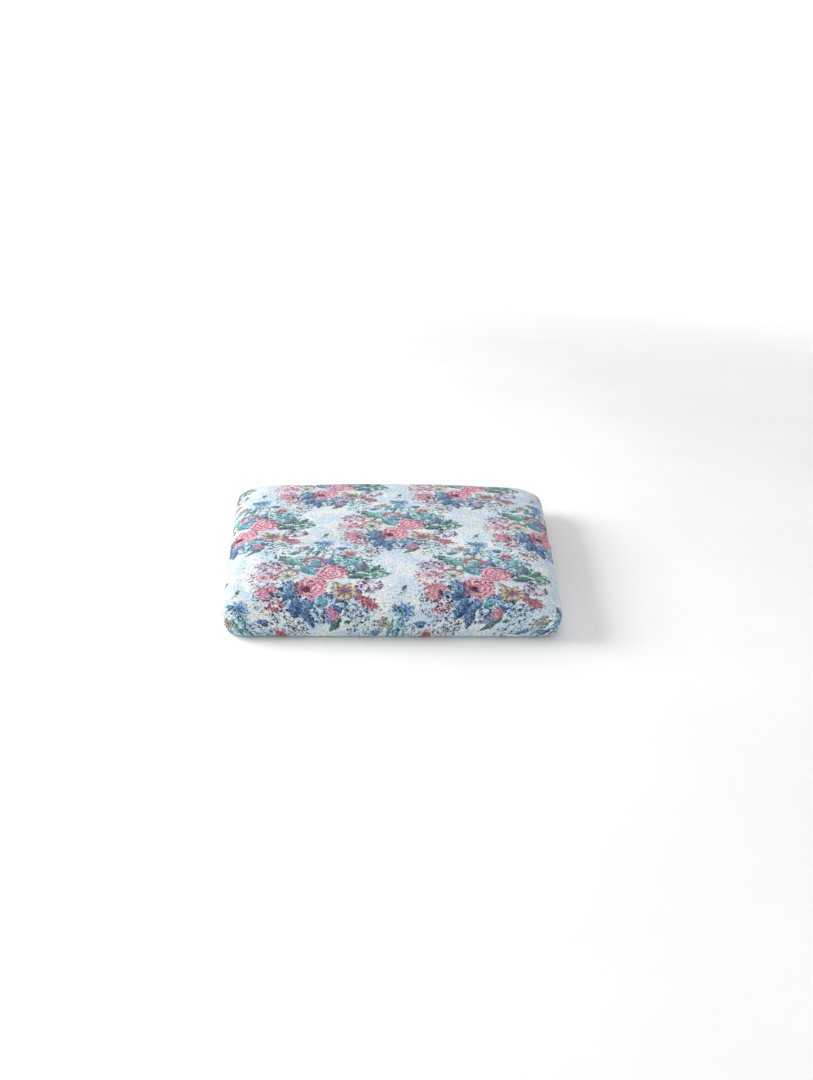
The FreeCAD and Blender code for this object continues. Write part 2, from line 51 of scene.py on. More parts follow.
COVER_LOW, COVER_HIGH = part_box("tapestry_cover")
FRONT_WIDTH = 0.452  # of the tapered plan before its corners are rounded
REAR_WIDTH = 0.381
HALF_DEPTH = COVER_HIGH.y
PAD_TOP = COVER_HIGH.z
FRONT_RADIUS = 0.038
REAR_RADIUS = 0.024
CLOTH_THICKNESS = 0.0011
HEM_HEIGHT = COVER_LOW.z + 0.0006  # middle of the cloth where it is folded under
HEM_WIDTH = 0.026
EDGE_INSET = 0.024  # from the side to where the crown ends and the rolled edge begins
CROWN_DROP_SIDE = 0.0080
CROWN_DROP_FRONT = 0.0060
CROWN_POWER = 2.3
TOP_MARGIN = 0.0012  # from the CAD cover's top to the middle of the cloth
SWELL = 0.0040  # how much lower the cloth starts, because it rises when it is blown out

ARC_STEPS = 7  # samples round half a corner
FRONT_STEPS = 38  # samples along the straight part of the front and back
SIDE_STEPS = 34
SIDE_TURN = 4  # how much the turn grows from a corner to the middle of a side
NOT_ON_A_SIDE = 99.0  # the turn of a point on the top


# ---- small helpers ----


def smooth(low, high, value):
    """0 below low, 1 above high, and an even S-curve between them."""
    t = np.clip((value - low) / (high - low), 0.0, 1.0)
    return t * t * (3.0 - 2.0 * t)


def lumps(points, scale, seed):
    """Even noise from -1 to 1 at each point, with bumps about 1/scale metres across."""
    shift = Vector((seed * 7.3, seed * 3.1, seed * 5.7))
    return np.array([noise.noise(Vector(p) * scale + shift) for p in points])


def linear(red, green, blue):
    """A colour given as 0-255 display values, in the linear values that shaders use."""
    out = []
    for part in (red, green, blue):
        c = part / 255.0
        out.append(c / 12.92 if c <= 0.04045 else ((c + 0.055) / 1.055) ** 2.4)
    return (*out, 1.0)


# ---- the shape that every layer shares ----


def corner_frames():
    """Centre, radius and the outward directions at both ends of each rounded corner's arc."""
    front, rear, depth = FRONT_WIDTH / 2, REAR_WIDTH / 2, HALF_DEPTH
    corners = np.array([(-front, -depth), (front, -depth), (rear, depth), (-rear, depth)])
    radii = [FRONT_RADIUS, FRONT_RADIUS, REAR_RADIUS, REAR_RADIUS]
    outward = []
    for k in range(4):
        run = corners[(k + 1) % 4] - corners[k]
        outward.append(np.array([run[1], -run[0]]) / np.linalg.norm(run))
    frames = []
    for k in range(4):
        before, after = outward[k - 1], outward[k]
        bisector = (before + after) / np.linalg.norm(before + after)
        centre = corners[k] - bisector * radii[k] / float(bisector @ after)
        frames.append((centre, radii[k], before, after))
    return frames


def turned(start, end, share):
    """A unit direction part of the way from one to another."""
    a = math.atan2(start[1], start[0])
    swing = (math.atan2(end[1], end[0]) - a + math.pi) % (2 * math.pi) - math.pi
    return np.array([math.cos(a + swing * share), math.sin(a + swing * share)])


def outline():
    """Samples round the plan: point, outward direction and turn from the nearest corner's middle.

    The samples begin at the middle of the corner at -X, -Y and run along the front. The turn is -1
    and 1 at the two ends of a corner's arc."""
    samples = []

    def half_arc(corner, first_share):
        centre, radius, before, after = corner
        for step in range(ARC_STEPS):
            share = first_share + 0.5 * step / ARC_STEPS
            direction = turned(before, after, share)
            samples.append((centre + direction * radius, direction, 2 * share - 1))

    frames = corner_frames()
    for k, corner in enumerate(frames):
        next_corner = frames[(k + 1) % 4]
        after = corner[3]
        start, end = corner[0] + after * corner[1], next_corner[0] + after * next_corner[1]
        straight = FRONT_STEPS if k % 2 == 0 else SIDE_STEPS
        half_arc(corner, 0.5)
        for step in range(straight):
            t = step / straight
            turn = 1 + 2 * SIDE_TURN * t if t < 0.5 else -1 - 2 * SIDE_TURN * (1 - t)
            samples.append((start * (1 - t) + end * t, after, turn))
        half_arc(next_corner, 0.0)
    return [np.array(part) for part in zip(*samples)]


def crown(x, y):
    """Height of the cover's middle: highest at the centre and falling away to all four edges."""
    half_width = (FRONT_WIDTH + REAR_WIDTH) / 4 - y * (FRONT_WIDTH - REAR_WIDTH) / 4 / HALF_DEPTH
    side = CROWN_DROP_SIDE * np.abs(x / half_width) ** CROWN_POWER
    front = CROWN_DROP_FRONT * np.abs(y / HALF_DEPTH) ** CROWN_POWER
    return PAD_TOP - TOP_MARGIN - side - front


ROLL_STEPS = 10
ROLL_SHARE = 0.44  # of the side's height that the rolled edge takes
ROLL_POWER = 0.94  # 1 is a quarter ellipse, and less is rounder
WALL_STEPS = 9
WALL_BULGE = 0.0012
FOOT_INSET = 0.0024  # how far the side's foot stands inside the plan
FOOT_SHARE = 0.06  # of the side's height, where the turn under the frame begins
HEM_BEND = 0.003
HEM_STEPS = 5


def uninflated(x, y):
    """The crown before the cloth swells: lower in the middle, and the same along its edges."""
    half_width = (FRONT_WIDTH + REAR_WIDTH) / 4
    middle = np.maximum(0.0, (1 - (x / half_width) ** 2) * (1 - (y / HALF_DEPTH) ** 2))
    return crown(x, y) - SWELL * middle


def side_path(edge_inset, foot):
    """A path over the rolled edge and down the side, ending where foot says.

    Each step is how far inside the plan it lies, and its share of the height above the base."""
    steps = []
    for k in range(1, ROLL_STEPS + 1):
        angle = math.radians(90 * k / ROLL_STEPS)
        inset = edge_inset * (1 - math.sin(angle) ** ROLL_POWER)
        rise = 1 - ROLL_SHARE + ROLL_SHARE * math.cos(angle) ** ROLL_POWER
        steps.append((inset, rise))
    for k in range(1, WALL_STEPS + 1):
        down = k / WALL_STEPS
        inset = FOOT_INSET * down**1.6 - WALL_BULGE * math.sin(math.pi * down)
        steps.append((inset, (1 - ROLL_SHARE) + (foot - 1 + ROLL_SHARE) * down))
    return steps


def hem_path(hem_width):
    """The turn under the frame and the hem along its underside."""
    steps = []
    for angle in (30, 60, 90):
        bend = math.radians(angle)
        inset = FOOT_INSET + HEM_BEND * (1 - math.cos(bend))
        steps.append((inset, FOOT_SHARE * (1 - math.sin(bend))))
    start = FOOT_INSET + HEM_BEND
    for k in range(1, HEM_STEPS + 1):
        steps.append((start + (hem_width - start) * k / HEM_STEPS, 0.0))
    return steps


def fold_path(edge_inset, fold_width):
    """A flat sheet's edge turned over on itself: share 1 is the sheet and share 0 its fold."""
    steps = [(edge_inset * k, 1.0) for k in (0.7, 0.4, 0.2)]
    steps += [(0.0006, 0.97), (0.0001, 0.75), (0.0, 0.5), (0.0001, 0.25), (0.0006, 0.03)]
    steps += [(fold_width * k / 4, 0.0) for k in (1, 2, 3, 4)]
    return steps


def coons(loop, columns, rows):
    """Fill a closed loop of samples with a grid, by blending its four sides."""
    front = loop[: columns + 1]
    right = loop[columns : columns + rows + 1]
    back = loop[columns + rows : 2 * columns + rows + 1][::-1]
    left = np.vstack([loop[2 * columns + rows :], loop[:1]])[::-1]
    u = (front[:, 0] - front[0, 0]) / (front[-1, 0] - front[0, 0])
    v = (right[:, 1] - right[0, 1]) / (right[-1, 1] - right[0, 1])
    grid = np.zeros((columns + 1, rows + 1, 2))
    for i, j in np.ndindex(columns + 1, rows + 1):
        across = (1 - v[j]) * front[i] + v[j] * back[i]
        along = (1 - u[i]) * left[j] + u[i] * right[j]
        ends = (1 - u[i]) * ((1 - v[j]) * front[0] + v[j] * back[0])
        ends = ends + u[i] * ((1 - v[j]) * front[-1] + v[j] * back[-1])
        grid[i, j] = across + along - ends
    return grid


class Wrap:
    """One layer's surface as arrays: a grid over its top, and rings from the top's edge onwards.

    inset is how far inside the cover's plan the layer's side stands, edge_inset how far in from
    there the top ends, height(x, y) the top's height, and path the steps down from it to base."""

    def __init__(self, inset, edge_inset, height, path, base):
        points, normals, turns = outline()
        points = points - normals * inset
        half = points.max(axis=0)
        normals = points / half
        self.around = len(points)
        self.columns = 2 * ARC_STEPS + FRONT_STEPS
        self.rows = 2 * ARC_STEPS + SIDE_STEPS
        edge = points - normals * edge_inset
        grid = coons(edge, self.columns, self.rows)
        self.index = {}
        verts, flat, place = [], [], []
        for cell in np.ndindex(self.columns + 1, self.rows + 1):
            x, y = grid[cell]
            self.index[cell] = len(verts)
            verts.append((x, y, height(x, y)))
            flat.append((x, y, 0.0))
            place.append((NOT_ON_A_SIDE, 0.0, 0.0))
        columns, rows = self.columns, self.rows
        cells = [(i, 0) for i in range(columns)] + [(columns, j) for j in range(rows)]
        cells += [(columns - i, rows) for i in range(columns)]
        cells += [(0, rows - j) for j in range(rows)]
        top_loop = [self.index[cell] for cell in cells]
        for k in range(self.around):
            place[top_loop[k]] = (turns[k], 0.0, 0.0)
        self.rings = [top_loop]
        top = np.array([verts[n][2] for n in top_loop])
        last = np.column_stack([edge, top])
        length = np.zeros(self.around)
        for step_inset, rise in path:
            here = np.column_stack([points - normals * step_inset, base + (top - base) * rise])
            length = length + np.linalg.norm(here - last, axis=1)
            last = here
            self.rings.append(range(len(verts), len(verts) + self.around))
            verts.extend(here)
            flat.extend((x, y, 0.0) for x, y in edge + normals * length[:, None])
            place.extend((turn, down, 0.0) for turn, down in zip(turns, length))
        self.verts = np.array(verts)
        self.flat = np.array(flat)
        self.place = np.array(place)

    def faces(self):
        quads = []
        for i in range(self.columns):
            for j in range(self.rows):
                corners = (i, j), (i + 1, j), (i + 1, j + 1), (i, j + 1)
                quads.append(tuple(self.index[corner] for corner in corners))
        for upper, lower in zip(self.rings, self.rings[1:]):
            quads += ring_faces(upper, lower)
        return quads

    def piece(self, name):
        attributes = [("cloth_flat", self.flat), ("place", self.place)]
        return new_mesh(name, self.verts, self.faces(), attributes)


# ---- mesh work ----


def ring_faces(upper, lower):
    """Quads between two closed rings that have the same number of points."""
    pairs = list(zip(upper, lower))
    return [(a, b, d, c) for (a, b), (c, d) in zip(pairs, pairs[1:] + pairs[:1])]


def new_mesh(name, verts, faces, attributes=()):
    """A mesh object with smooth faces and named vector attributes on its points."""
    mesh = bpy.data.meshes.new(name)
    mesh.from_pydata([tuple(v) for v in verts], [], faces)
    mesh.update()
    for key, values in attributes:
        layer = mesh.attributes.new(key, "FLOAT_VECTOR", "POINT")
        layer.data.foreach_set("vector", np.asarray(values, dtype=np.float32).ravel())
    mesh.polygons.foreach_set("use_smooth", [True] * len(mesh.polygons))
    piece = bpy.data.objects.new(name, mesh)
    bpy.context.scene.collection.objects.link(piece)
    return piece


def shell(name, outer, inner):
    """A closed thick layer between two wraps whose rings end at the same place."""
    count = len(outer.verts)
    faces = outer.faces()
    faces += [tuple(count + n for n in reversed(face)) for face in inner.faces()]
    faces += ring_faces(outer.rings[-1], [count + n for n in inner.rings[-1]])
    verts = np.vstack([outer.verts, inner.verts])
    flat = np.vstack([outer.flat, inner.flat])
    return new_mesh(name, verts, faces, [("cloth_flat", flat)])


def read_vectors(mesh, key):
    """An attribute of a mesh's points, or their "position" or "normal", as an array."""
    flat = np.empty(len(mesh.vertices) * 3, dtype=np.float32)
    if key == "normal":
        mesh.vertices.foreach_get("normal", flat)
    else:
        mesh.attributes[key].data.foreach_get("vector", flat)
    return flat.reshape(-1, 3).astype(float)


def write_points(mesh, points):
    mesh.vertices.foreach_set("co", np.asarray(points, dtype=np.float32).ravel())
    mesh.update()


def relaxed(mesh, values, rounds, fixed):
    """Average each point's value with its neighbours' a number of times, to leave no crease."""
    ends = np.empty(len(mesh.edges) * 2, dtype=np.int64)
    mesh.edges.foreach_get("vertices", ends)
    first, second = ends.reshape(-1, 2).T
    count = np.bincount(first, minlength=len(values)) + np.bincount(second, minlength=len(values))
    kept = values[fixed]
    for _ in range(rounds):
        total = np.zeros_like(values)
        np.add.at(total, first, values[second])
        np.add.at(total, second, values[first])
        values = 0.5 * values + 0.5 * total / count[:, None]
        values[fixed] = kept
    return values


HELD_RINGS = 7  # the hem and the start of its turn
SIM_FRAMES = 20
SIM_PRESSURE = 4.0
SIM_CAP = 0.006
SIM_SMOOTHING = 40


def inflate(piece, pinned):
    """Blow the cloth out against its stitched-down hem, as stuffing does, and keep the result."""
    group = piece.vertex_groups.new(name="held")
    group.add([int(n) for n in pinned], 1.0, "REPLACE")
    cloth = piece.modifiers.new("Cloth", "CLOTH")
    settings = {
        "quality": 6,
        "mass": 0.3,
        "tension_stiffness": 30,
        "compression_stiffness": 30,
        "shear_stiffness": 12,
        "bending_stiffness": 1.0,
        "tension_damping": 12,
        "use_pressure": True,
        "uniform_pressure_force": SIM_PRESSURE,
        "vertex_group_mass": "held",
    }
    for key, value in settings.items():
        setattr(cloth.settings, key, value)
    cloth.settings.effector_weights.gravity = 0.0
    scene = bpy.context.scene
    before = read_vectors(piece.data, "position")
    for number in range(1, SIM_FRAMES + 1):
        scene.frame_set(number)
    settled = piece.evaluated_get(bpy.context.evaluated_depsgraph_get())
    moved = read_vectors(settled.data, "position") - before
    piece.modifiers.remove(cloth)
    scene.frame_set(1)
    normals = read_vectors(piece.data, "normal")
    outward = np.sum(moved * normals, axis=1, keepdims=True)
    moved = normals * np.clip(outward, 0.0, SIM_CAP)
    moved = relaxed(piece.data, moved, SIM_SMOOTHING, pinned)
    write_points(piece.data, before + moved)


def modified(piece, kind, **settings):
    """Replace a piece's mesh with what a modifier makes of it."""
    modifier = piece.modifiers.new(kind, kind)
    for key, value in settings.items():
        setattr(modifier, key, value)
    settled = piece.evaluated_get(bpy.context.evaluated_depsgraph_get())
    made = bpy.data.meshes.new_from_object(settled)
    piece.modifiers.clear()
    piece.data = made


def thickened(piece, thickness):
    modified(piece, "SOLIDIFY", thickness=thickness, offset=0.0)


def tailored(piece):
    """Add what the upholsterer's hands leave: an uneven filling, gathers, pleats and drag lines.

    Along the cloth, turn tells the side of a corner and down the way from the crown's edge."""
    mesh = piece.data
    points = read_vectors(mesh, "position")
    normals = read_vectors(mesh, "normal")
    turn, down, _ = read_vectors(mesh, "place").T
    x, y, z = points.T
    side = np.sign(x)
    near_corner = np.abs(turn) < 3

    push = 0.0010 * lumps(points, 13, 1) + 0.0005 * lumps(points, 31, 2)

    gathered = smooth(1.9, 0.8, np.abs(turn)) * smooth(0.014, 0.046, down) * (y < 0)
    fold = np.cos(turn * 10.5 + 0.9 * np.sin(turn * 4.1 + side) + 6 * down * side)
    push += 0.0011 * gathered * fold

    lap = turn * side  # from -1 at a rear corner's side to 1 at its back
    crease = -0.28 + 9.0 * (down - 0.03)
    pleated = smooth(0.010, 0.030, down) * (y > 0) * near_corner
    lapped = smooth(crease - 0.05, crease + 0.05, lap) * smooth(crease + 1.5, crease + 0.1, lap)
    tuck = np.exp(-(((lap - crease + 0.10) / 0.07) ** 2))
    push += pleated * (0.0016 * lapped - 0.0013 * tuck)
    bunch = np.exp(-(((lap - 0.25) / 0.55) ** 2)) * smooth(0.034, 0.052, down)
    crumpled = 0.6 + 0.4 * np.cos(11 * lap + 60 * down)
    push += 0.0028 * bunch * crumpled * (y > 0) * (x < 0) * near_corner

    staple_pitch = 0.034
    run = np.where(np.abs(y) > HALF_DEPTH - 0.012, x, y)
    drag = 0.5 + 0.5 * np.cos(run * 2 * math.pi / staple_pitch + 2.5 * lumps(points, 9, 3))
    push -= 0.0006 * drag * smooth(0.030, 0.055, down) * smooth(1.0, 1.6, np.abs(turn)) * (down > 0)

    push *= smooth(HEM_HEIGHT + 0.0006, HEM_HEIGHT + 0.006, z)
    write_points(mesh, points + normals * push[:, None])


# ---- shader nodes ----


class Nodes:
    """A material's node tree, built from short calls. Any value may be a socket or a constant."""

    def __init__(self, name):
        self.material = bpy.data.materials.new(name)
        self.material.use_nodes = True
        self.tree = self.material.node_tree
        self.shader = self.tree.nodes["Principled BSDF"]

    def add(self, kind, inputs=(), **settings):
        node = self.tree.nodes.new("ShaderNode" + kind)
        for key, value in settings.items():
            setattr(node, key, value)
        for key, value in dict(inputs).items():
            self.put(node.inputs[key], value)
        return node

    def put(self, socket, value):
        if isinstance(value, bpy.types.NodeSocket):
            self.tree.links.new(value, socket)
        else:
            socket.default_value = value

    def math(self, operation, *values):
        return self.add("Math", enumerate(values), operation=operation).outputs[0]

    def times(self, value, factor):
        return self.math("MULTIPLY", value, factor)

    def muladd(self, value, factor, shift):
        """value * factor + shift"""
        return self.math("MULTIPLY_ADD", value, factor, shift)

    def minus(self, value, other):
        return self.math("SUBTRACT", value, other)

    def floor(self, value):
        return self.math("FLOOR", value)

    def fraction(self, value):
        return self.math("FRACT", value)

    def less(self, value, limit):
        """1 where the value is below the limit, and 0 elsewhere."""
        return self.math("LESS_THAN", value, limit)

    def vector(self, operation, *values):
        node = self.add("VectorMath", enumerate(values), operation=operation)
        return node.outputs["Value" if operation == "LENGTH" else "Vector"]

    def scaled(self, vector, factor):
        node = self.add("VectorMath", {0: vector, "Scale": factor}, operation="SCALE")
        return node.outputs["Vector"]

    def split(self, vector):
        return self.add("SeparateXYZ", {0: vector}).outputs[:3]

    def join(self, x, y, z=0.0):
        return self.add("CombineXYZ", {0: x, 1: y, 2: z}).outputs[0]

    def step(self, value, low, high, start=0.0, end=1.0):
        """An S-curve from start to end as the value goes from low to high, and level beyond."""
        inputs = {"Value": value, "From Min": low, "From Max": high, "To Min": start, "To Max": end}
        settings = {"interpolation_type": "SMOOTHSTEP", "clamp": False}
        return self.add("MapRange", inputs, **settings).outputs["Result"]

    def mix(self, factor, first, second, blend="MIX"):
        inputs = {0: factor, 6: first, 7: second}
        return self.add("Mix", inputs, data_type="RGBA", blend_type=blend).outputs[2]

    def ramp(self, value, stops, interpolation="LINEAR"):
        """A colour ramp; each stop is a position and a colour."""
        node = self.add("ValToRGB", {0: value})
        node.color_ramp.interpolation = interpolation
        elements = node.color_ramp.elements
        while len(elements) < len(stops):
            elements.new(1.0)
        for element, (position, color) in zip(elements, stops):
            element.position = position
            element.color = color
        return node.outputs["Color"]

    def noise(self, vector, scale, detail=2.0, output=0):
        inputs = {"Vector": vector, "Scale": scale, "Detail": detail}
        return self.add("TexNoise", inputs).outputs[output]

    def white(self, vector):
        """The outputs of an even random number from 0 to 1 for each whole-number place."""
        return self.add("TexWhiteNoise", {"Vector": vector}).outputs

    def toned(self, color, tone):
        """A colour made darker or lighter by a plain number."""
        return self.mix(1.0, color, self.join(tone, tone, tone), "MULTIPLY")

    def object_place(self):
        return self.add("TexCoord").outputs["Object"]

    def attribute(self, key):
        return self.add("Attribute", attribute_name=key).outputs["Vector"]

    def finish(self, color, height, distance, roughness, **constants):
        """Link a colour, a bump and a roughness, and set the rest on the shader's own sockets."""
        self.put(self.shader.inputs["Base Color"], color)
        self.put(self.shader.inputs["Roughness"], roughness)
        bump = self.add("Bump", {"Height": height, "Distance": distance, "Strength": 1.0})
        self.put(self.shader.inputs["Normal"], bump.outputs["Normal"])
        for key, value in constants.items():
            self.shader.inputs[key.replace("_", " ")].default_value = value
        return self.material


# ---- the tapestry ----

REPEAT_ACROSS = 19.0  # cm; the pattern repeats in a half-drop lattice
REPEAT_ALONG = 28.13
FIRST_ROSE = (-9.22, -16.42)  # cm across and along the cloth
STITCH_ACROSS = 0.095  # cm
STITCH_ALONG = 0.075

PALETTES = {
    "rose": ((240, 192, 206), (192, 106, 132), (86, 27, 52)),
    "blush": ((244, 205, 214), (192, 123, 145), (99, 50, 66)),
    "old_rose": ((222, 150, 168), (160, 78, 102), (71, 35, 46)),
    "red": ((222, 132, 124), (166, 56, 69), (72, 26, 36)),
    "blue": ((158, 196, 228), (80, 123, 167), (29, 50, 84)),
    "navy": ((122, 164, 204), (56, 91, 138), (20, 33, 60)),
    "violet": ((176, 176, 224), (115, 113, 171), (52, 48, 85)),
    "slate": ((156, 184, 200), (89, 115, 138), (36, 50, 66)),
    "sea": ((150, 216, 220), (84, 156, 171), (29, 72, 84)),
    "mint": ((176, 228, 220), (93, 164, 156), (24, 66, 60)),
    "forest": ((112, 164, 152), (45, 99, 91), (17, 42, 40)),
    "mauve": ((200, 176, 206), (140, 108, 143), (62, 43, 66)),
    "amber": ((206, 196, 172), (132, 84, 70), (56, 42, 37)),
    "cream": ((226, 230, 214), (146, 170, 152), (53, 69, 56)),
    "brown": ((190, 170, 158), (119, 91, 82), (48, 36, 33)),
}

# Each motif: its kind and colours, its place across and along from the first rose's centre, half
# width and half height, all in cm, and its turn in degrees. Later ones lie over earlier ones.
BOUQUET = (
    ("blossoms", "sea", 1.9, 5.4, 5.2, 2.4),
    ("spray", "slate", 5.4, 4.4, 2.6, 1.8, -30),
    ("blossoms", "blue", 0.3, -2.5, 3.9, 2.1, -6),
    ("blossoms", "mint", -2.0, 5.0, 2.4, 1.9),
    ("spray", "blush", -4.6, 2.2, 2.8, 3.0),
    ("spray", "slate", -4.4, -1.6, 2.8, 2.5),
    ("spray", "slate", 4.3, -2.4, 3.0, 1.6),
    ("blossoms", "forest", 6.3, 2.8, 2.6, 1.6, 8),
    ("leaf", "slate", 5.5, 4.6, 1.4, 0.75, 72),
    ("leaf", "forest", 7.1, 3.9, 1.3, 0.45, 55),
    ("leaf", "forest", 5.2, 2.2, 1.4, 0.6, 12),
    ("blossoms", "mauve", 6.5, 0.1, 1.6, 1.1),
    ("leaf", "slate", 5.3, -0.9, 0.9, 0.4, 120),
    ("carnation", "old_rose", 6.3, -2.1, 1.6, 0.65, -30),
    ("blossoms", "sea", 3.1, 6.2, 1.5, 0.9),
    ("leaf", "violet", 1.6, 6.0, 1.1, 0.5, 60),
    ("leaf", "navy", 2.1, 5.4, 1.1, 0.45, 100),
    ("leaf", "sea", 4.5, 5.5, 1.1, 0.5, 40),
    ("leaf", "mint", -2.8, 6.2, 2.0, 0.9, -38),
    ("blossoms", "forest", -4.0, 7.1, 1.0, 0.6, -30),
    ("leaf", "sea", -0.6, 3.8, 1.5, 0.8, -50),
    ("leaf", "sea", 0.4, 5.9, 1.0, 0.6, 20),
    ("leaf", "violet", -0.1, 4.9, 0.9, 0.5, 10),
    ("arch", "red", -0.1, 5.8, 1.5, 1.5),
    ("blossoms", "mauve", -5.0, 5.1, 1.8, 1.4),
    ("blossoms", "blush", -4.3, 3.3, 1.0, 1.6),
    ("spray", "blush", -6.2, 1.2, 0.9, 1.5),
    ("daisy", "blush", -5.6, 2.3, 0.95, 0.95),
    ("daisy", "cream", -2.8, 2.4, 1.3, 1.45, 10),
    ("arch", "old_rose", -2.8, 3.0, 1.35, 1.25, -12),
    ("blossoms", "old_rose", -4.3, -1.5, 1.9, 1.8, 20),
    ("carnation", "rose", -4.9, -0.7, 1.4, 1.3, 20),
    ("blossoms", "slate", -4.0, -1.3, 0.8, 0.9),
    ("arch", "slate", -3.6, -1.9, 1.0, 1.3, -70),
    ("blossoms", "blue", -2.4, -0.4, 1.0, 1.9),
    ("leaf", "blue", -2.4, 0.2, 1.0, 0.45, 70),
    ("leaf", "navy", -2.3, -1.1, 1.2, 0.7, 35),
    ("leaf", "navy", -1.9, -2.9, 1.4, 0.75, 68),
    ("leaf", "navy", -0.8, -3.8, 1.6, 0.6, 98),
    ("leaf", "blue", -0.3, -2.6, 1.0, 0.55, 40),
    ("blossoms", "blue", 1.9, -2.6, 1.8, 0.9, -8),
    ("leaf", "sea", 1.2, -2.3, 0.8, 0.5, 20),
    ("leaf", "navy", 2.9, -2.9, 0.7, 0.35, -40),
    ("spray", "slate", 0.6, -4.0, 1.2, 0.9),
    ("carnation", "violet", 2.1, -3.8, 0.95, 0.95),
    ("carnation", "rose", 2.4, -3.6, 0.55, 0.7, 30),
    ("leaf", "forest", 2.1, -4.9, 1.4, 0.42, 42),
    ("spray", "brown", -2.5, -5.0, 1.2, 0.8),
    ("leaf", "cream", 2.7, 0.5, 0.8, 0.4, 140),
    ("daisy", "amber", 3.75, -0.7, 1.65, 1.4),
    ("bloom", "rose", 2.25, 3.1, 2.0, 1.95, -160),
    ("rose", "rose", 0.0, 0.2, 2.0, 2.15),
)
SPRIGS = (
    ("daisy", "blue", 1.1, 11.0, 1.15, 1.05),
    ("leaf", "slate", 0.0, 11.4, 0.6, 0.3, -30),
    ("leaf", "blue", 0.6, 9.5, 1.1, 0.35, 65),
    ("leaf", "violet", 0.1, 8.3, 0.9, 0.5, 75),
    ("leaf", "mint", -0.8, 8.7, 1.2, 0.35, 70),
    ("daisy", "amber", -1.25, 9.6, 0.8, 0.8),
    ("spray", "sea", 0.4, 9.2, 1.6, 2.2, 10),
    ("spray", "slate", 2.1, 8.7, 1.4, 0.9),
    ("spray", "slate", 6.0, 9.0, 2.2, 1.4),
    ("spray", "slate", -3.2, 9.0, 2.0, 1.2),
    ("leaf", "navy", 3.1, 9.4, 0.75, 0.4, 10),
    ("carnation", "red", 4.1, 7.6, 0.75, 1.0),
    ("leaf", "forest", 5.0, 6.5, 0.7, 0.35, 60),
    ("leaf", "blue", -2.6, 8.3, 0.8, 0.5, 30),
    ("spray", "brown", 6.7, 7.8, 1.3, 1.0),
    ("spray", "cream", 0.9, 13.4, 0.8, 0.8),
    ("leaf", "forest", 1.0, 13.9, 0.6, 0.25, 55),
    ("leaf", "forest", -5.7, 9.7, 0.5, 0.25, 20),
    ("spray", "slate", -5.3, 8.3, 1.0, 0.6),
    ("spray", "slate", -4.2, 10.4, 1.3, 0.9),
)
BOUQUET_MIDDLE = (1.0, 1.0)
SPRIGS_MIDDLE = (0.0, 11.0)


